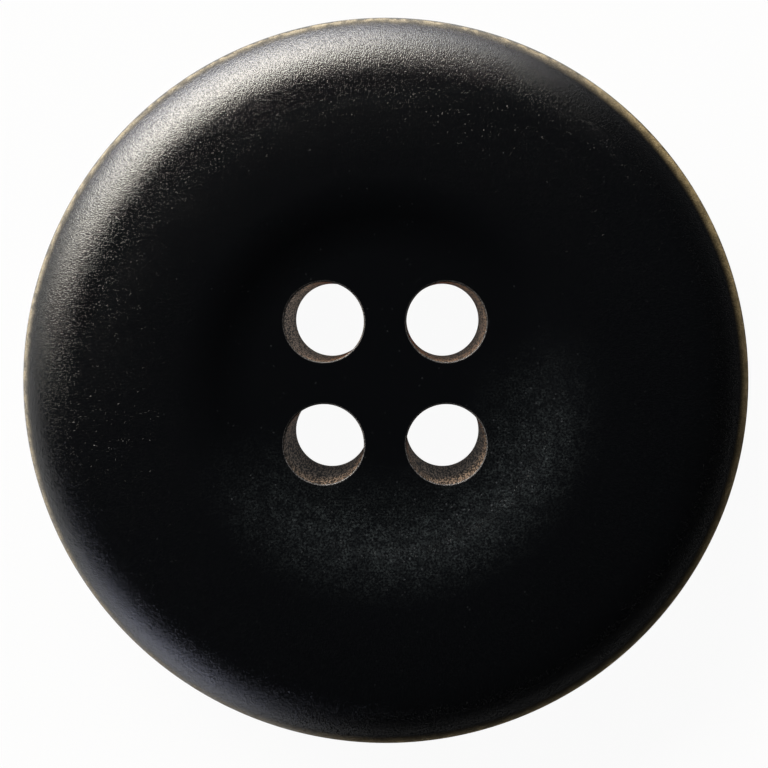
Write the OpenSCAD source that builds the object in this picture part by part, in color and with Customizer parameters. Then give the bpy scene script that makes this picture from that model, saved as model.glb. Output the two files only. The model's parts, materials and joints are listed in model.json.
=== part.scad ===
// Round sew-through button, turned from one slug: a dished face inside a rounded rim,
// with a square of four sewing holes through the flat floor of the dish.
// It lies on its flat back with the face up. The origin is the centre of the back,
// and the rows of holes run along X and Y. Lengths are in millimetres.

/* [Disc] */
// Diameter over the rim
button_d = 20.3; // [18:0.1:25]
// Height from the flat back to the crest of the rim
rim_t = 3.35; // [3.2:0.05:4.5]
// Radius of the shoulder that bends the face down towards the edge
shoulder_r = 3.6; // [2.4:0.1:4]
// Radius of the edge that leads the shoulder over into the side
edge_r = 0.8; // [0.5:0.05:1.1]
// Slope of the shoulder where the edge takes over, in degrees
edge_slope = 36.87; // [30:0.01:50]
// Radius of the edge between the side and the flat back
back_edge_r = 1.0; // [0.5:0.1:1.1]

/* [Face] */
// How far the top of the shoulder's circle lies below the crest
crown_fall = 0.16; // [0.1:0.01:0.24]
// Depth of the dish floor below the crest
dish_depth = 0.35; // [0.2:0.05:0.6]
// Width of the wall that slopes from the dish floor up to the crest
dish_wall_w = 2.1; // [1.5:0.1:2.6]
// Flat floor left outside the mouths of the holes
floor_margin = 0.03; // [0.02:0.01:0.3]

/* [Sewing holes] */
// Diameter of each hole
hole_d = 2.15; // [1.6:0.05:2.6]
// Distance between neighbouring holes, centre to centre
hole_pitch = 3.3; // [2.9:0.1:3.8]
// Radius that softens the mouths of the holes
hole_edge_r = 0.05; // [0.03:0.01:0.2]

/* [Hidden] */
// Facets round a full circle
$fn = 180;
// How far a cut, or a band that an arc trims, runs on past the surface
overcut = 0.5;
// The flat floor ends on a whole step of this size
floor_step = 0.01;
// Width that the crown keeps between the crest and the middle of the shoulder's circle
crown_min_w = 1;

button_r = button_d / 2;
hole_r = hole_d / 2;
hole_offset = hole_pitch / 2;
hole_mouth_r = hole_r + hole_edge_r;
hole_reach = norm([hole_offset, hole_offset]) + hole_mouth_r;

// The dish wall is two equal arcs, hollow below and swelling above, that meet halfway up
floor_z = rim_t - dish_depth;
floor_r = ceil((hole_reach + floor_margin) / floor_step) * floor_step;
bend_r = floor_r + dish_wall_w / 2;
crest_r = floor_r + dish_wall_w;
wall_arc_r = (pow(dish_wall_w, 2) + pow(dish_depth, 2)) / (4 * dish_depth);
hollow_centre = [floor_r, floor_z + wall_arc_r];
swell_centre = [crest_r, rim_t - wall_arc_r];

// The shoulder is an arc that touches the edge from inside, and leaves the crown its width
slope_dir = [sin(edge_slope), cos(edge_slope)];
shoulder_room = button_r - edge_r - crest_r - crown_min_w;
shoulder_arc_r = min(shoulder_r, edge_r + shoulder_room / slope_dir.x);
edge_to_shoulder = (shoulder_arc_r - edge_r) * slope_dir;
shoulder_centre = [
    button_r - edge_r - edge_to_shoulder.x,
    rim_t - crown_fall - shoulder_arc_r
];
edge_centre = shoulder_centre + edge_to_shoulder;
shoulder_end = edge_centre + edge_r * slope_dir;

// The crown is one arc, level at the crest and tangent to the shoulder
crown_w = shoulder_centre.x - crest_r;
centre_gap = (pow(crown_w, 2) + pow(crown_fall, 2)) / (2 * crown_fall);
crown_r = centre_gap + shoulder_arc_r;
crown_centre = [crest_r, rim_t - crown_r];
crown_end_r = crest_r + crown_r * crown_w / centre_gap;

// The back edge can take no more than the side below the front edge
back_r = min(back_edge_r, edge_centre.y);
back_centre = [button_r - back_r, back_r];
side_mid = (back_r + edge_centre.y) / 2;

// Rectangle between two corners
module block(from, to) {
    translate(from) square(to - from);
}

// Disc about a point
module disc(centre, r) {
    translate(centre) circle(r);
}

// The part of a disc that lies inside a rectangle
module trimmed_disc(centre, r, from, to) {
    intersection() {
        disc(centre, r);
        block(from, to);
    }
}

// Dish, from the axis out to the crest: flat floor, hollow foot of the wall, swell to the crest
module dish_section() {
    block([0, 0], [floor_r, floor_z]);
    difference() {
        block([floor_r, 0], [bend_r, rim_t]);
        disc(hollow_centre, wall_arc_r);
    }
    block([floor_r, 0], [crest_r, floor_z - dish_depth]);
    trimmed_disc(swell_centre, wall_arc_r, [floor_r, side_mid], [shoulder_centre.x, rim_t + overcut]);
}

// Rim, from the crest to the upright side: shallow crown, shoulder, then the edge
module rim_section() {
    top = rim_t + overcut;
    trimmed_disc(crown_centre, crown_r, [crest_r, side_mid], [crown_end_r, top]);
    trimmed_disc(shoulder_centre, shoulder_arc_r, [crest_r, side_mid], [shoulder_end.x, top]);
    trimmed_disc(edge_centre, edge_r, [crest_r, side_mid], [button_r + overcut, top]);
}

// Foot, below the front edge: upright side, then the rounded edge of the flat back
module foot_section() {
    if (edge_centre.y > back_r) {
        block([0, back_r], [button_r, edge_centre.y]);
    }
    block([0, 0], [back_centre.x, edge_centre.y]);
    trimmed_disc(back_centre, back_r, [0, -overcut], [button_r + overcut, side_mid]);
}

// Half section of one hole, flared by a quarter round at each mouth
module hole_section() {
    block([0, -overcut], [hole_r, floor_z + overcut]);
    difference() {
        block([0, floor_z - hole_edge_r], [hole_mouth_r, floor_z + overcut]);
        disc([hole_mouth_r, floor_z - hole_edge_r], hole_edge_r);
    }
    difference() {
        block([0, -overcut], [hole_mouth_r, hole_edge_r]);
        disc([hole_mouth_r, hole_edge_r], hole_edge_r);
    }
}

// The whole button: the turned disc, drilled with its square of holes
module button() {
    color("#111317")
    difference() {
        rotate_extrude() {
            dish_section();
            rim_section();
            foot_section();
        }
        for (x = [-hole_offset, hole_offset], y = [-hole_offset, hole_offset]) {
            translate([x, y, 0]) rotate_extrude() hole_section();
        }
    }
}

button();
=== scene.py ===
# %% [markdown]
# # A round sew-through button
# The object is one loose black button with a dished face, a rounded rim and four holes. Buttons
# like it are turned from a slice of nut, drilled, dyed and polished in a tumbling barrel. The solid
# model is loaded first and kept as it is, so it can be measured: the lesson takes its sizes from
# there instead of guessing them again.

# %% Load the solid model
import json
import math

import bmesh
import bpy
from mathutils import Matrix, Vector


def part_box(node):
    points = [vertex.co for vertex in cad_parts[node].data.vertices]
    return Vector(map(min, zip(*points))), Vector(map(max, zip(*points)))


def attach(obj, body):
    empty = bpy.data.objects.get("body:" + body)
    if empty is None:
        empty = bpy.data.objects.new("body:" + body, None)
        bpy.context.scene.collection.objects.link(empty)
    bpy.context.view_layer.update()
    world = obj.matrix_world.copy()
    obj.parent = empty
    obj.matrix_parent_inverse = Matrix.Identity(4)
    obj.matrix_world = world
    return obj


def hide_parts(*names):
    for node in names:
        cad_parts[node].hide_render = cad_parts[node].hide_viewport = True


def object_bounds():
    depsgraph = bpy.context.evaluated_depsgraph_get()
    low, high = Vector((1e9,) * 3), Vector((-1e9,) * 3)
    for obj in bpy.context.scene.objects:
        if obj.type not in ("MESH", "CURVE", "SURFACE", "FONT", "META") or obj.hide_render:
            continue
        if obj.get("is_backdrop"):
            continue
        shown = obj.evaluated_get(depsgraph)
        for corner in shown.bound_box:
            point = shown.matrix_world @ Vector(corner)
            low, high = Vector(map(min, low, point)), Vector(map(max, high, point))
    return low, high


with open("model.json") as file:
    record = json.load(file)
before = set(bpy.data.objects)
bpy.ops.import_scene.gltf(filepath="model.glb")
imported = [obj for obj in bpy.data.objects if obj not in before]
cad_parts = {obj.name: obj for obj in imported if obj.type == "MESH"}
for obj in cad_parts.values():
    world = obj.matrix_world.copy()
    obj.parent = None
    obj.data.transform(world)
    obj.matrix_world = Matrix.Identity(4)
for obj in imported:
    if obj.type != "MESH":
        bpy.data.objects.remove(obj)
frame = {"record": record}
cad_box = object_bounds()
MM = 0.001
print("solid model, mm:", [round(side / MM, 3) for side in cad_box[1] - cad_box[0]])

# %% [markdown]
# ## Sizes
# The diameter and the height are the solid's own box. The holes are read from the record, which
# lists each of them as a place where a needle goes through. What is left are the curves of the
# section, the numbers that a turner would set on the lathe.

# %% Sizes of the button, in millimetres
hole = next(m for m in frame["record"]["mounts"] if m["name"] == "hole_back_right")
low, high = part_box("button")
sizes = {
    "Diameter": (high.x - low.x) / MM,
    "Height": (high.z - low.z) / MM,
    "Shoulder Radius": 3.6,
    "Edge Radius": 0.8,
    "Back Edge Radius": 1.0,
    "Crown Fall": 0.16,
    "Dish Wall Width": 2.1,
    "Floor Height": 2 * hole["pos_m"][2] / MM,
    "Floor Radius": 3.49,
    "Hole Offset": hole["pos_m"][0] / MM,
    "Hole Radius": hole["dims"]["r_mm"],
    "Hole Edge Radius": hole["pos_m"][2] / MM - hole["dims"]["length_mm"] / 2,
}
EDGE_SLOPE = 36.87
for name, value in sizes.items():
    print(f"{name}: {value:.3f}")

# %% [markdown]
# ## Camera
# The picture was taken from straight above, from so near that the walls of the holes show. They
# show most at the bottom of each hole, so the lens stood over the upper part of the button. Turning
# the camera towards the middle would make the round outline an oval. A lens shift keeps the camera
# level and still puts the button in the middle of the frame.

# %% Camera over the button
FRAME_PX = 768
SHIFT_PX = (-23.0, -82.3)
SENSOR, LENS = 36, 46.06
CAMERA_PLACE = (0.59, 2.19, 29.47)
camera_data = bpy.data.cameras.new("camera")
camera_data.sensor_width = SENSOR
camera_data.lens = LENS
camera_data.shift_x, camera_data.shift_y = (pixels / FRAME_PX for pixels in SHIFT_PX)
camera_data.clip_start = 1 * MM
camera = bpy.data.objects.new("camera", camera_data)
camera.location = [length * MM for length in CAMERA_PLACE]
bpy.context.scene.collection.objects.link(camera)
bpy.context.scene.camera = camera
bpy.context.scene.view_settings.view_transform = "Standard"
print("camera above the back of the button, mm:", round(camera.location.z / MM, 2))

# %% [markdown]
# ## Sums that draw their own nodes
# Both the shape and the finish are worked out by node trees. Placing every Math node by hand hides
# the formula, so this small class wraps the output of a node and lets the usual signs add the Math
# nodes. Every other kind of node comes from its one method.


# %% A wire between nodes
class Wire:
    """The output of a node. A sum on wires adds its Math nodes to the same tree."""

    def __init__(self, tree, socket=None):
        self.tree, self.socket = tree, socket

    def node(self, kind, settings=None, inputs=None, out=0):
        """Adds a node, sets it up, joins or fills its inputs, and returns one output."""
        made = self.tree.nodes.new(kind)
        for name, value in (settings or {}).items():
            if name == "items":
                for _ in range(value - len(made.index_switch_items)):
                    made.index_switch_items.new()
            else:
                setattr(made, name, value)
        for key, value in (inputs or {}).items():
            for part in value if isinstance(value, list) else [value]:
                if isinstance(part, Wire):
                    self.tree.links.new(part.socket, made.inputs[key])
                else:
                    made.inputs[key].default_value = part
        return Wire(self.tree, made.outputs[out])

    def also(self, out):
        """Another output of the same node."""
        return Wire(self.tree, self.socket.node.outputs[out])

    def leave(self, kind, name):
        """Leads the wire out of the tree, through an output node's named socket."""
        self.tree.links.new(self.socket, self.tree.nodes.new(kind).inputs[name])

    def math(self, operation, *values):
        return self.node("ShaderNodeMath", {"operation": operation}, dict(enumerate(values)))

    def clamped(self):
        return self.node("ShaderNodeClamp", inputs={0: self})

    def __add__(self, other):
        return self.math("ADD", self, other)

    def __sub__(self, other):
        return self.math("SUBTRACT", self, other)

    def __rsub__(self, other):
        return self.math("SUBTRACT", other, self)

    def __mul__(self, other):
        return self.math("MULTIPLY", self, other)

    def __truediv__(self, other):
        return self.math("DIVIDE", self, other)

    def __abs__(self):
        return self.math("ABSOLUTE", self)

    __radd__, __rmul__ = __add__, __mul__


print("wires know", [name for name in vars(Wire) if name.startswith("__r")])

# %% [markdown]
# ## The shape as a rule
# A turned thing is a section spun about an axis, and the four holes repeat one quarter of the
# floor. That is a rule, so a Geometry Nodes tree makes the whole button from its named sizes.
# Carving holes out of a disc with a Boolean would be quicker, but leaves long thin faces that shade
# badly.

# %% The tree and its named sizes
dyed_nut = bpy.data.materials.new("dyed_nut")
shape = bpy.data.node_groups.new("turned button", "GeometryNodeTree")
for name in sizes:
    socket = shape.interface.new_socket(name, in_out="INPUT", socket_type="NodeSocketFloat")
    socket.subtype = "DISTANCE"
socket = shape.interface.new_socket("Edge Slope", in_out="INPUT", socket_type="NodeSocketFloat")
socket.subtype = "ANGLE"
shape.interface.new_socket("Finish", in_out="INPUT", socket_type="NodeSocketMaterial")
shape.interface.new_socket("Button", in_out="OUTPUT", socket_type="NodeSocketGeometry")
start = Wire(shape)
given = start.node("NodeGroupInput")
diameter, height, shoulder, edge, back_edge, fall, wall_w, floor_z, floor_r, offset, bore, mouth = (
    given.also(name) for name in sizes
)
slope = given.also("Edge Slope")
print("named sizes:", len(sizes))

# %% [markdown]
# ## The section of the face, the rim and the back
# From the flat floor of the dish, the section climbs in two equal arcs to the crest, falls over a
# shallow crown, a rounder shoulder and a tight edge to the side, and ends in the flat back. Each
# arc is tangent to the next, so the section is a line of eight corners that are rounded, which is
# what Fillet Curve does. A corner lies where the tangents at both ends of its arc meet.

# %% Corners of the section, and the radius of each
dish = height - floor_z
crest_r = floor_r + wall_w
wall_arc = (wall_w * wall_w + dish * dish) / (4 * dish)
lean = wall_arc * dish / wall_w
outer = diameter / 2
slope_out, slope_up = start.math("SINE", slope), start.math("COSINE", slope)
shoulder_r = outer - edge - (shoulder - edge) * slope_out
shoulder_z = height - fall - shoulder
crown_w = shoulder_r - crest_r
gap = (crown_w * crown_w + fall * fall) / (2 * fall)
crown = gap + shoulder
crown_out, crown_up = crown_w / gap, (gap - fall) / gap
bend = shoulder / (1 + crown_out * slope_out + crown_up * slope_up)
bend_r = shoulder_r + bend * (crown_out + slope_out)
bend_z = shoulder_z + bend * (crown_up + slope_up)
edge_z = shoulder_z + (shoulder - edge) * slope_up + edge * slope_up / (1 + slope_out)
corners = [
    (floor_r, floor_z, 0.0),
    (floor_r + lean, floor_z, wall_arc),
    (crest_r - lean, height, wall_arc),
    (crest_r + crown * fall / crown_w, height, crown),
    (bend_r, bend_z, shoulder),
    (outer, edge_z, edge),
    (outer, 0.0, back_edge),
    (floor_r, 0.0, 0.0),
]
print("corners of the section:", len(corners))

# %% [markdown]
# ## Spinning the section
# On the lathe the slug turns against the tool. Here the section is swept once round a ring, which
# leaves the same round skin. The line starts straight, with a point for each corner, and an Index
# Switch sends every point to its place in the list. The Screw modifier would also spin it, but only
# a tree keeps the section tied to its named sizes.

# %% Spin the section into a sheet
ROUND = 256
ARC_STEPS = 18
line = start.node(
    "GeometryNodeResampleCurve",
    {"mode": "COUNT"},
    {"Curve": start.node("GeometryNodeCurvePrimitiveLine"), "Count": len(corners)},
)
index = start.node("GeometryNodeInputIndex")
places = [
    start.node("ShaderNodeCombineXYZ", inputs={"X": r - floor_r, "Y": 0 - z if z else 0.0})
    for r, z, _ in corners
]
corner_place = start.node(
    "GeometryNodeIndexSwitch",
    {"data_type": "VECTOR", "items": len(corners)},
    dict(enumerate([index] + places)),
)
corner_radius = start.node(
    "GeometryNodeIndexSwitch",
    {"data_type": "FLOAT", "items": len(corners)},
    dict(enumerate([index] + [radius for _, _, radius in corners])),
)
bent = start.node("GeometryNodeSetPosition", inputs={"Geometry": line, "Position": corner_place})
section = start.node(
    "GeometryNodeFilletCurve",
    {"mode": "POLY"},
    {"Curve": bent, "Count": ARC_STEPS, "Radius": corner_radius},
)
ring = start.node(
    "GeometryNodeCurvePrimitiveCircle", inputs={"Resolution": ROUND, "Radius": floor_r}
)
turned = start.node("GeometryNodeCurveToMesh", inputs={"Curve": ring, "Profile Curve": section})
print("steps round the button:", ROUND)

# %% [markdown]
# ## One quarter of the floor, with its hole
# A grid is bent round the hole: its columns go round the hole, and its rows run from the face over
# the rounded mouth, down the wall and out again on the back. The outer edge of the quarter is a
# quarter circle and two straight lines, so that four quarters close to a full round floor.

# %% Columns and rows of the grid
ARC_COLUMNS, LINE_COLUMNS = ROUND // 4, 40
WALL_ROWS, MOUTH_ROWS, FLOOR_ROWS = 16, 8, 10
columns = ARC_COLUMNS + 2 * LINE_COLUMNS
rows = WALL_ROWS + 2 * (MOUTH_ROWS + FLOOR_ROWS)
grid = start.node(
    "GeometryNodeMeshGrid",
    inputs={"Size X": columns, "Size Y": rows, "Vertices X": columns + 1, "Vertices Y": rows + 1},
)
across = start.node(
    "ShaderNodeSeparateXYZ", inputs={0: start.node("GeometryNodeInputPosition")}, out="X"
)
column = across + columns / 2
row = across.also("Y")
print("faces in one quarter:", columns * rows)

# %% [markdown]
# ## Bending the grid
# A point of the grid knows only its column and its row. The column tells in which direction from
# the hole it lies and how far off the edge of the quarter is there. The row tells how far it has
# come on its way from the face to the back. Drawing this with loops would do as well, but each
# formula here stays true when a size changes.

# %% Bend the grid round the hole
quarter_turn = (column / ARC_COLUMNS).clamped() * (math.pi / 2)
inward = ((column - ARC_COLUMNS) / LINE_COLUMNS).clamped()
outward = ((column - ARC_COLUMNS - LINE_COLUMNS) / LINE_COLUMNS).clamped()
to_x = floor_r * (start.math("COSINE", quarter_turn) + outward) - offset
to_y = floor_r * start.math("SINE", quarter_turn) * (1 - inward) - offset
reach = start.math("SQRT", to_x * to_x + to_y * to_y)

depth = abs(row) - WALL_ROWS / 2
turn = (depth / MOUTH_ROWS).clamped() * (math.pi / 2)
spread = ((depth - MOUTH_ROWS) / FLOOR_ROWS).clamped()
flare = mouth * (1 - start.math("COSINE", turn))
away = bore + flare + (reach - bore - mouth) * spread * spread
half = floor_z / 2
rise = (abs(row) / (WALL_ROWS / 2)).clamped() * (half - mouth) + mouth * start.math("SINE", turn)
bent_place = start.node(
    "ShaderNodeCombineXYZ",
    inputs={
        "X": offset + to_x / reach * away,
        "Y": offset + to_y / reach * away,
        "Z": half + start.math("SIGN", row) * rise,
    },
)
bowl = start.node("GeometryNodeSetPosition", inputs={"Geometry": grid, "Position": bent_place})
quarter = start.node("GeometryNodeFlipFaces", inputs={0: bowl})
print("rows from the face to the back:", rows)

# %% [markdown]
# ## Four quarters and the rim, sewn into one skin
# The quarter is placed four times, each a quarter turn further. The copies are made real, because a
# model that leaves this file can't carry copies, and the points that lie on each other are merged,
# so the button is one closed skin.

# %% Join the sheets
QUARTERS = 4
MERGE_WITHIN = 0.001
points = start.node("GeometryNodePoints", inputs={"Count": QUARTERS})
quarters = start.node(
    "GeometryNodeInstanceOnPoints",
    inputs={
        "Points": points,
        "Instance": quarter,
        "Rotation": start.node("ShaderNodeCombineXYZ", inputs={"Z": index * (math.pi / 2)}),
    },
)
joined = start.node("GeometryNodeJoinGeometry", inputs={0: [turned, quarters]})
real = start.node("GeometryNodeRealizeInstances", inputs={0: joined})
closed = start.node(
    "GeometryNodeMergeByDistance", inputs={"Geometry": real, "Distance": MERGE_WITHIN * MM}
)
smooth = start.node("GeometryNodeSetShadeSmooth", inputs={0: closed})
finished = start.node(
    "GeometryNodeSetMaterial", inputs={"Geometry": smooth, "Material": given.also("Finish")}
)
finished.leave("NodeGroupOutput", "Button")
print("nodes in the tree:", len(shape.nodes))

# %% [markdown]
# ## From the rule to a mesh
# The tree runs once with the measured sizes, and what it makes is kept as a plain mesh, which any
# other program can read. A closed skin has a volume, so the volume and the open edges are printed:
# the first should be close to the solid's, and there should be none of the second.

# %% Make the mesh
button = bpy.data.objects.new("turned_button", bpy.data.meshes.new("turned_button"))
bpy.context.scene.collection.objects.link(button)
modifier = button.modifiers.new("turned button", "NODES")
modifier.node_group = shape
for socket in shape.interface.items_tree:
    if socket.name in sizes:
        modifier[socket.identifier] = sizes[socket.name] * MM
    elif socket.name == "Edge Slope":
        modifier[socket.identifier] = math.radians(EDGE_SLOPE)
    elif socket.name == "Finish":
        modifier[socket.identifier] = dyed_nut
made = button.evaluated_get(bpy.context.evaluated_depsgraph_get())
skin = bpy.data.meshes.new_from_object(made)
button.modifiers.clear()
button.data = skin
measured = bmesh.new()
measured.from_mesh(skin)
print("volume, mm3:", round(measured.calc_volume(signed=True) / MM**3, 2))
print("open or twisted edges:", sum(not side.is_contiguous for side in measured.edges))
print("faces:", len(skin.polygons), "triangles:", len(measured.calc_loop_triangles()))
measured.free()

# %% [markdown]
# ## The dyed nut
# The nut is pale brown inside. The dye only soaks into its skin, so the walls of the holes show
# the nut. The outermost edge is painted as worn nut and as a painted reflection of the paper there,
# lighter on the side towards the window. A painted picture could say the same, but masks made from
# where a point lies fit every view and every size.

# %% Where a point lies on the button
dyed_nut.use_nodes = True
dyed_nut.node_tree.nodes.clear()
paint = Wire(dyed_nut.node_tree)
object_place = paint.node("ShaderNodeTexCoord", out="Object")
place = paint.node(
    "ShaderNodeVectorMath", {"operation": "SCALE"}, {0: object_place, "Scale": 1 / MM}
)
x = paint.node("ShaderNodeSeparateXYZ", inputs={0: place})
y, z = x.also("Y"), x.also("Z")
radius = paint.math("SQRT", x * x + y * y)
past_x, past_y = abs(x) - sizes["Hole Offset"], abs(y) - sizes["Hole Offset"]
from_hole = paint.math("SQRT", past_x * past_x + past_y * past_y)
print("a point knows its radius and how far the nearest hole is")

# %% [markdown]
# ## Tools for painting
# Five small tools do most of the painting: noise for what grows at random, a soft step that turns a
# measure into a mask from 0 to 1, a mask that never falls below a share, a mask for one side of the
# button, and a blend of two colours. The step is soft, because a hard one leaves edges as of cut
# paper.


# %% Patterns and masks
def noise(where, scale, detail=2.0):
    return where.node(
        "ShaderNodeTexNoise", inputs={"Vector": where, "Scale": scale, "Detail": detail}
    )


def step(value, low, high):
    """A soft step from 0 at low to 1 at high."""
    return value.node(
        "ShaderNodeMapRange",
        {"interpolation_type": "SMOOTHSTEP"},
        {"Value": value, "From Min": low, "From Max": high},
    )


def at_least(share, mask):
    return share + mask * (1 - share)


def towards(degrees):
    """1 on the side of the button that lies in this direction, -1 on the other."""
    return (x * math.cos(math.radians(degrees)) + y * math.sin(math.radians(degrees))) / radius


def blend(factor, first, second):
    return factor.node(
        "ShaderNodeMix", {"data_type": "RGBA"}, {0: factor, 6: first, 7: second}, out=2
    )


print("tools:", [tool.__name__ for tool in (noise, step, at_least, towards, blend)])

# %% [markdown]
# ## Grain
# The nut's cells show as short dashes that point away from the middle, each about a thirtieth of a
# millimetre wide. Ordinary noise makes round spots. Here it is read on a stretched round: once
# round the button is many steps of noise, and a millimetre outwards is only a few. Towards the
# middle the dashes would close up to a star, so they fade there, as they do on the nut.

# %% Short dashes that run outwards
DASHES_ROUND, DASHES_OUT = 290.0, 9.0
DASHES_FADE = (3.0, 7.5)
DASH_LEVELS, PORE_LEVELS = (0.4, 0.66), (0.54, 0.66)
heading = paint.node(
    "ShaderNodeVectorMath",
    {"operation": "NORMALIZE"},
    {0: paint.node("ShaderNodeCombineXYZ", inputs={"X": x, "Y": y})},
)
grain_place = paint.node(
    "ShaderNodeVectorMath",
    {"operation": "MULTIPLY_ADD"},
    {
        0: heading,
        1: (DASHES_ROUND,) * 3,
        2: paint.node("ShaderNodeCombineXYZ", inputs={"Z": (radius - z) * DASHES_OUT}),
    },
)
towards_rim = step(radius, *DASHES_FADE)
grain = noise(grain_place, scale=1.0, detail=1.0)
dashes = step(grain, *DASH_LEVELS) * towards_rim
pores = step(grain, *PORE_LEVELS) * towards_rim
print("dash width at the rim, mm:", round(sizes["Diameter"] / 2 / DASHES_ROUND, 3))

# %% [markdown]
# ## Sand and clouds
# Between the dashes the polish is sandy, and over the whole face it is a little uneven, because the
# barrel doesn't rub everywhere alike. Both are plain noise on the place itself: one finer than a
# dash is wide, the other wider than a millimetre.

# %% Sand between the dashes, and soft clouds
SAND_STEPS, CLOUD_STEPS = 33.0, 0.8
sand = noise(place, SAND_STEPS, detail=1.0)
cloud = noise(place, CLOUD_STEPS)
print("grains of sand, mm:", round(1 / SAND_STEPS, 3))

# %% [markdown]
# ## Painted sheen and glints
# In the hollow of the dish, the side of the wall that faces the window is painted a mottled grey:
# a painted sheen for the window mirrored there. Pale dots on it are painted glints. A speck is the
# middle of a cell of a Voronoi pattern, and a share of the cells, larger on the painted sheen, is
# let through.

# %% Painted sheen and glints on the side of the hollow that faces the window
SPECK_STEPS, SHEEN_STEPS, MOTTLE_STEPS = 15.0, 19.0, 3.2
HOLLOW_START, HOLLOW_END, FACE_HEIGHT = (1.9, 4.0), (4.6, 6.2), (1.0, 2.5)
SHEEN_SIDE, SHEEN_FADE = 288, (-0.1, 0.8)
SPECK_CHOICE, GLINT_GAIN, SPECK_EDGE = (0.86, 1.15), 0.16, (0.1, 0.55)
MOTTLE_LEVELS, MOTTLE_LEAST, SHEEN_LEVELS = (0.34, 0.66), 0.4, (0.36, 0.74)
hollow = step(radius, *HOLLOW_START) * (1 - step(radius, *HOLLOW_END)) * step(z, *FACE_HEIGHT)
# Painted sheen: the side of the hollow that faces the window.
sheen_side = hollow * step(towards(SHEEN_SIDE), *SHEEN_FADE)
sheen_mottle = step(noise(place, MOTTLE_STEPS, detail=3.0), *MOTTLE_LEVELS)
painted_sheen = sheen_side * at_least(MOTTLE_LEAST, sheen_mottle) * step(noise(place, SHEEN_STEPS), *SHEEN_LEVELS)
cells = paint.node("ShaderNodeTexVoronoi", inputs={"Vector": place, "Scale": SPECK_STEPS})
# Painted glints: more cells are let through on the painted sheen.
chosen = step(cells.also("Color"), *(level - sheen_side * GLINT_GAIN for level in SPECK_CHOICE))
painted_glints = (1 - step(cells, *SPECK_EDGE)) * chosen
print("cells of the specks, mm:", round(1 / SPECK_STEPS, 3))

# %% [markdown]
# ## Where the nut is bare
# The drill goes through dyed skin into plain nut, so the walls of the holes are bare. Their sharp
# mouths are painted pale: worn nut with a painted highlight of the light that a round mouth catches.
# The edge of the rim is painted as nut worn through in ragged patches, which is also a painted
# reflection of the paper, and on the side away from the window the polish next to it is dull. Each
# place is a soft step on the distance from the axis, from the nearest hole or from the back, and
# noise makes its border uneven.

# %% Masks of the walls and the mouths of the holes
BORE_END = (0.005, 0.02)
MOUTH_MIDDLE, MOUTH_FADE = 0.02, (0.012, 0.035)
past_bore = from_hole - sizes["Hole Radius"]
in_bore = 1 - step(past_bore, *BORE_END)
# The pale mouth ring: a painted highlight on worn nut.
on_mouth = 1 - step(abs(past_bore - MOUTH_MIDDLE), *MOUTH_FADE)
print("bare walls end this far outside the bore, mm:", BORE_END)

# %% Masks of the worn edge with its painted reflection, and of the dull rim
CLOUD_SWAY, SAND_SWAY, RAGGED_SWAY = 0.08, 0.10, 0.3
RAGGED_STEPS, PATCH_LEVELS, PATCH_LEAST = 3.5, (0.38, 0.60), 0.65
RUB_AND_REFLECTION_RADIUS, RUB_AND_REFLECTION_HEIGHT = (9.70, 10.02), (2.07, 2.32)
AWAY_FROM_LIGHT, AWAY_FADE = 335, (-0.3, 0.5)
DULL_RADIUS, DULL_SHARE = (8.55, 9.25), 0.88
DULL_EDGE, DULL_EDGE_SHARE = (9.55, 9.95), 0.2
uneven = (cloud - 0.5) * CLOUD_SWAY + (sand - 0.5) * SAND_SWAY
ragged = noise(place, RAGGED_STEPS, detail=4.0)
from_above = step(radius + uneven / 2, *RUB_AND_REFLECTION_RADIUS)
from_side = step(z + uneven + (ragged - 0.5) * RAGGED_SWAY, *RUB_AND_REFLECTION_HEIGHT)
# Worn edge and painted reflection of the paper, in ragged patches.
rubbed_and_reflecting = from_above * from_side * at_least(PATCH_LEAST, step(ragged, *PATCH_LEVELS))
# The side away from the window: the edge is painted a shaded gold there, and the polish is dull.
side_away_from_light = step(towards(AWAY_FROM_LIGHT), *AWAY_FADE)
dull_side = step(radius, *DULL_RADIUS) * side_away_from_light * DULL_SHARE
dull = dull_side + step(radius, *DULL_EDGE) * DULL_EDGE_SHARE
print("the edge is rubbed between these radii, mm:", RUB_AND_REFLECTION_RADIUS)

# %% [markdown]
# ## Colours
# The dye is a blue black, a little paler in the dashes. The worn edge is a painted reflection too:
# it is painted a lit cream on the side towards the window and a shaded gold on the side away from
# it. On the walls of the holes the dye took in patches, and the drill cut the cells lengthwise, so
# dark and pale brown streaks stand side by side there. Each of these is a pair of colours, and grain
# or sand blends the two, since nothing that grew has one even colour. Only the painted sheen and
# the painted glints are plain grey.

# %% Colours of the dye, the painted sheen and the painted glints
DYE = (0.0019, 0.0022, 0.0029, 1), (0.0034, 0.0038, 0.0046, 1)
# Greys of the painted sheen and the painted glints, the window mirrored on the dish wall.
SHEEN_GREY, GLINT_GREY = (0.0235, 0.0285, 0.0305, 1), (0.055, 0.060, 0.066, 1)
black = blend(dashes, *DYE)
black_with_sheen = blend(painted_glints, blend(painted_sheen, black, SHEEN_GREY), GLINT_GREY)
print("dye and wax:", DYE[0][:3], GLINT_GREY[:3])

# %% Colours of the bare nut
WALL_STEPS, CUT_STRETCH, WALL_LEVELS = 22.0, (1.0, 1.0, 0.2), (0.45, 0.62)
EDGE_LEVELS, MOUTH_LEVELS = (0.35, 0.65), (0.40, 0.60)
WALL = (0.012, 0.009, 0.007, 1), (0.18, 0.13, 0.092, 1)
# Lit and shaded copies of the worn edge: cream towards the window, gold away from it.
LIT_CREAM = (0.27, 0.225, 0.15, 1), (0.46, 0.41, 0.32, 1)
SHADED_GOLD = (0.27, 0.205, 0.105, 1), (0.43, 0.335, 0.185, 1)
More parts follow.
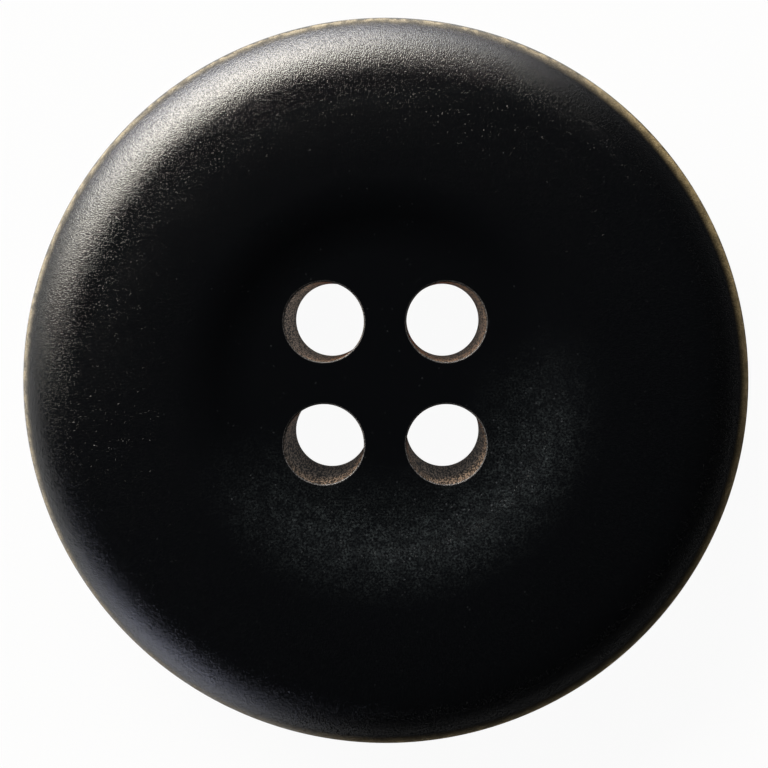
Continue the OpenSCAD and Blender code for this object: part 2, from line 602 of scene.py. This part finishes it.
# Pale mouth ring: a painted highlight of the light that the round mouth catches.
MOUTH_HIGHLIGHT = (0.03, 0.03, 0.03, 1), (0.22, 0.21, 0.21, 1)
cut_cells = paint.node(
    "ShaderNodeVectorMath", {"operation": "MULTIPLY"}, {0: place, 1: CUT_STRETCH}
)
wall_grain = noise(cut_cells, WALL_STEPS)
brown = blend(step(wall_grain, *WALL_LEVELS), *WALL)
sandy = step(sand, *EDGE_LEVELS)
# The painted reflection at the edge: lit cream towards the window, shaded gold away from it.
lit_and_shaded_edge_colour = blend(side_away_from_light, blend(sandy, *LIT_CREAM), blend(sandy, *SHADED_GOLD))
# Painted highlight on the mouths of the holes.
pale = blend(step(sand, *MOUTH_LEVELS), *MOUTH_HIGHLIGHT)
bare_colour = blend(in_bore, blend(on_mouth, blend(rubbed_and_reflecting, black, lit_and_shaded_edge_colour), pale), brown)
print("bare nut:", WALL[1][:3], LIT_CREAM[1][:3], SHADED_GOLD[1][:3])

# %% [markdown]
# ## Relief
# The barrel leaves a satin polish. Close up, that is a mirror with a sandy relief of a few
# thousandths of a millimetre. Its grains lean by about four to seven degrees and turn the mirrored
# light by twice that, so the window's edge dissolves into bright and dark grains. It is far too
# fine to model, so a Bump node tilts the light instead. More roughness would only blur the window,
# without any grain.

# %% Relief of the grain
SAND_HEIGHT, DASH_HEIGHT = 0.0087, 0.0092
relief = sand * SAND_HEIGHT + grain * towards_rim * DASH_HEIGHT
tilted = paint.node(
    "ShaderNodeBump", inputs={"Strength": 1.0, "Distance": MM, "Height": relief}
)
print("full scale of the relief, mm:", round(SAND_HEIGHT + DASH_HEIGHT, 4))

# %% [markdown]
# ## Three finishes
# Polished dye mirrors the room, bare nut is matt, and a freshly drilled wall shines a little under
# a thin brown stain, which is a tinted coat that reflects nothing itself. One shader could hold
# them all, but three with masks between them are easier to set and to read.

# %% Polished dye and bare nut
POLISH_ROUGH, POLISH_CLOUDS, POLISH_IOR = 0.15, 0.04, 1.65
BARE_ROUGH, BARE_SPECULAR = 0.7, 0.02
MOUTH_SHARE, RUB_AND_REFLECTION_SHARE, PORE_SHARE = 0.7, 0.95, 0.3
polished = paint.node(
    "ShaderNodeBsdfPrincipled",
    inputs={
        "Base Color": black_with_sheen,
        "Roughness": POLISH_ROUGH + cloud * POLISH_CLOUDS,
        "IOR": POLISH_IOR,
        "Normal": tilted,
    },
)
bare = paint.node(
    "ShaderNodeBsdfPrincipled",
    inputs={
        "Base Color": bare_colour,
        "Roughness": BARE_ROUGH,
        "Specular IOR Level": BARE_SPECULAR,
        "Normal": tilted,
    },
)
by_holes = paint.math("MAXIMUM", in_bore, on_mouth * MOUTH_SHARE)
by_wear = paint.math("MAXIMUM", rubbed_and_reflecting * RUB_AND_REFLECTION_SHARE, (dull + pores * PORE_SHARE).clamped())
matt = paint.math("MAXIMUM", by_holes, by_wear)
outside = paint.node("ShaderNodeMixShader", inputs={0: matt, 1: polished, 2: bare})
print("roughness of the polish and of the bare nut:", POLISH_ROUGH, BARE_ROUGH)

# %% Drilled walls
DRILLED_ROUGH, DRILLED_SPECULAR = 0.42, 0.16
STAIN = (0.99, 0.968, 0.95, 1)
TORN_LEVELS = (0.40, 0.60)
WALL_LIGHT_HEIGHT, WALL_LIGHT_LOW = (0.2, 2.2), 0.35
WALL_LIGHT_ROWS, WALL_LIGHT_LOWER_ROW = (-1.5, 1.5), 0.45
drilled = paint.node(
    "ShaderNodeBsdfPrincipled",
    inputs={
        "Base Color": brown,
        "Roughness": DRILLED_ROUGH,
        "Specular IOR Level": DRILLED_SPECULAR,
        "Coat Weight": 1.0,
        "Coat IOR": 1.0,
        "Coat Tint": STAIN,
        "Normal": tilted,
    },
)
# Painted light: the walls shine less towards the back of each hole and in the lower row of holes.
wall_light = at_least(WALL_LIGHT_LOW, step(z, *WALL_LIGHT_HEIGHT))
wall_light = wall_light * at_least(WALL_LIGHT_LOWER_ROW, step(y, *WALL_LIGHT_ROWS))
torn_and_lit = in_bore * step(wall_grain, *TORN_LEVELS) * wall_light
surface = paint.node("ShaderNodeMixShader", inputs={0: torn_and_lit, 1: outside, 2: drilled})
surface.leave("ShaderNodeOutputMaterial", "Surface")
print("nodes in the finish:", len(dyed_nut.node_tree.nodes))

# %% [markdown]
# ## Floor
# The button lies on plain white paper. Paper that is only lit would come out grey or would need so
# much light that the button turns grey too. So the paper shines white for the rays that look at it,
# straight or mirrored, and is ordinary white paper for all others, which keeps the shadow.

# %% White paper, in metres
FLOOR_SIDE, FLOOR_Z = 4.0, -0.00001
PAPER, WHITE = (0.8, 0.8, 0.8, 1), (1, 1, 1, 1)
WHITE_SHARE = 0.95
paper = bpy.data.materials.new("white_paper")
paper.use_nodes = True
paper.node_tree.nodes.clear()
sheet = Wire(paper.node_tree)
looking = sheet.node("ShaderNodeLightPath", out="Is Camera Ray")
seen = (looking + looking.also("Is Glossy Ray") + looking.also("Is Transmission Ray")).clamped()
lit = sheet.node("ShaderNodeBsdfDiffuse", inputs={"Color": PAPER})
white = sheet.node("ShaderNodeEmission", inputs={"Color": WHITE, "Strength": 1.0})
both = sheet.node("ShaderNodeMixShader", inputs={0: seen * WHITE_SHARE, 1: lit, 2: white})
both.leave("ShaderNodeOutputMaterial", "Surface")
corner = FLOOR_SIDE / 2
floor_mesh = bpy.data.meshes.new("floor")
floor_mesh.from_pydata(
    [(a * corner, b * corner, FLOOR_Z) for a, b in ((-1, -1), (1, -1), (1, 1), (-1, 1))],
    [],
    [(0, 1, 2, 3)],
)
floor_mesh.materials.append(paper)
floor = bpy.data.objects.new("floor", floor_mesh)
bpy.context.scene.collection.objects.link(floor)
floor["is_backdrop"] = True
print("paper, m:", FLOOR_SIDE)

# %% [markdown]
# ## Light
# The bright band at the upper left is a window with a thin curtain: brightest in the middle, fading
# to the sides, warmer above than below. Panels of growing width, one behind the other, fade in the
# same way. Each hangs at a distance of its own, because panels in one plane would hide each other.
# A second, small blue window stands at the lower left.


# %% Panels of light
def panel(name, azimuth, zenith, wide, tall, distance, radiance, colour):
    """A flat panel that faces the button. Angles are in degrees; wide and tall are half angles."""
    around, down = math.radians(azimuth), math.radians(zenith)
    out = distance * math.sin(down)
    lamp = bpy.data.lights.new(name, "AREA")
    lamp.shape = "RECTANGLE"
    lamp.size = 2 * out * math.tan(math.radians(wide))
    lamp.size_y = 2 * distance * math.tan(math.radians(tall))
    lamp.energy = radiance * math.pi * lamp.size * lamp.size_y
    lamp.color = colour
    hung = bpy.data.objects.new(name, lamp)
    hung.location = (out * math.cos(around), out * math.sin(around), distance * math.cos(down))
    hung.rotation_euler = (down, 0, around + math.pi / 2)
    hung.visible_camera = False
    bpy.context.scene.collection.objects.link(hung)


WARM, COOL, BLUE = (1.0, 0.95, 0.85), (0.90, 0.91, 1.0), (0.73, 0.77, 1.0)
TOP_ZENITH, TOP_TALL = 64.5, 7.7
FOOT_ZENITH, FOOT_TALL = 80, 7.5
panel("window_top_inner", 125, TOP_ZENITH, 21, TOP_TALL, 0.50, 7.0, WARM)
panel("window_top_middle", 125, TOP_ZENITH, 34, TOP_TALL, 0.51, 10.4, WARM)
panel("window_top_outer", 119, TOP_ZENITH, 55, TOP_TALL, 0.52, 4.1, WARM)
panel("window_foot_inner", 117, FOOT_ZENITH, 28, FOOT_TALL, 0.53, 4.3, COOL)
panel("window_foot_outer", 110, FOOT_ZENITH, 46, FOOT_TALL, 0.54, 2.9, COOL)
panel("blue_window", 234, 85, 17, 5, 0.50, 2.9, BLUE)
print("lamps:", len(bpy.data.lights))

# %% [markdown]
# ## Room
# A black polish is only as black as the room that it mirrors, so the room is dark. A white room
# would lay a grey veil over the whole face. Where the camera looks past the paper, it sees almost
# the same white as the paper's, so no horizon shows.

# %% A dark room, white where the camera looks past the paper
DARK, BRIGHT = (0.012, 0.013, 0.015, 1), (0.96, 0.96, 0.96, 1)
room = bpy.data.worlds.new("room")
bpy.context.scene.world = room
room.use_nodes = True
room.node_tree.nodes.clear()
air = Wire(room.node_tree)
past = air.node("ShaderNodeLightPath", out="Is Camera Ray")
dark = air.node("ShaderNodeBackground", inputs={"Color": DARK})
bright = air.node("ShaderNodeBackground", inputs={"Color": BRIGHT})
beyond = past + past.also("Is Transmission Ray")
around_it = air.node("ShaderNodeMixShader", inputs={0: beyond, 1: dark, 2: bright})
around_it.leave("ShaderNodeOutputWorld", "Surface")
print("nodes in the room:", len(room.node_tree.nodes))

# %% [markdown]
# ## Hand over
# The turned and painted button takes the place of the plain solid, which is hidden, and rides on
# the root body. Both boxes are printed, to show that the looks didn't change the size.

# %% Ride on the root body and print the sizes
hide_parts("button")
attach(button, "root")
boxes = {"cad": cad_box, "visual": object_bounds()}
for name, box in boxes.items():
    print(name, "mm:", [round(side / MM, 3) for side in box[1] - box[0]])
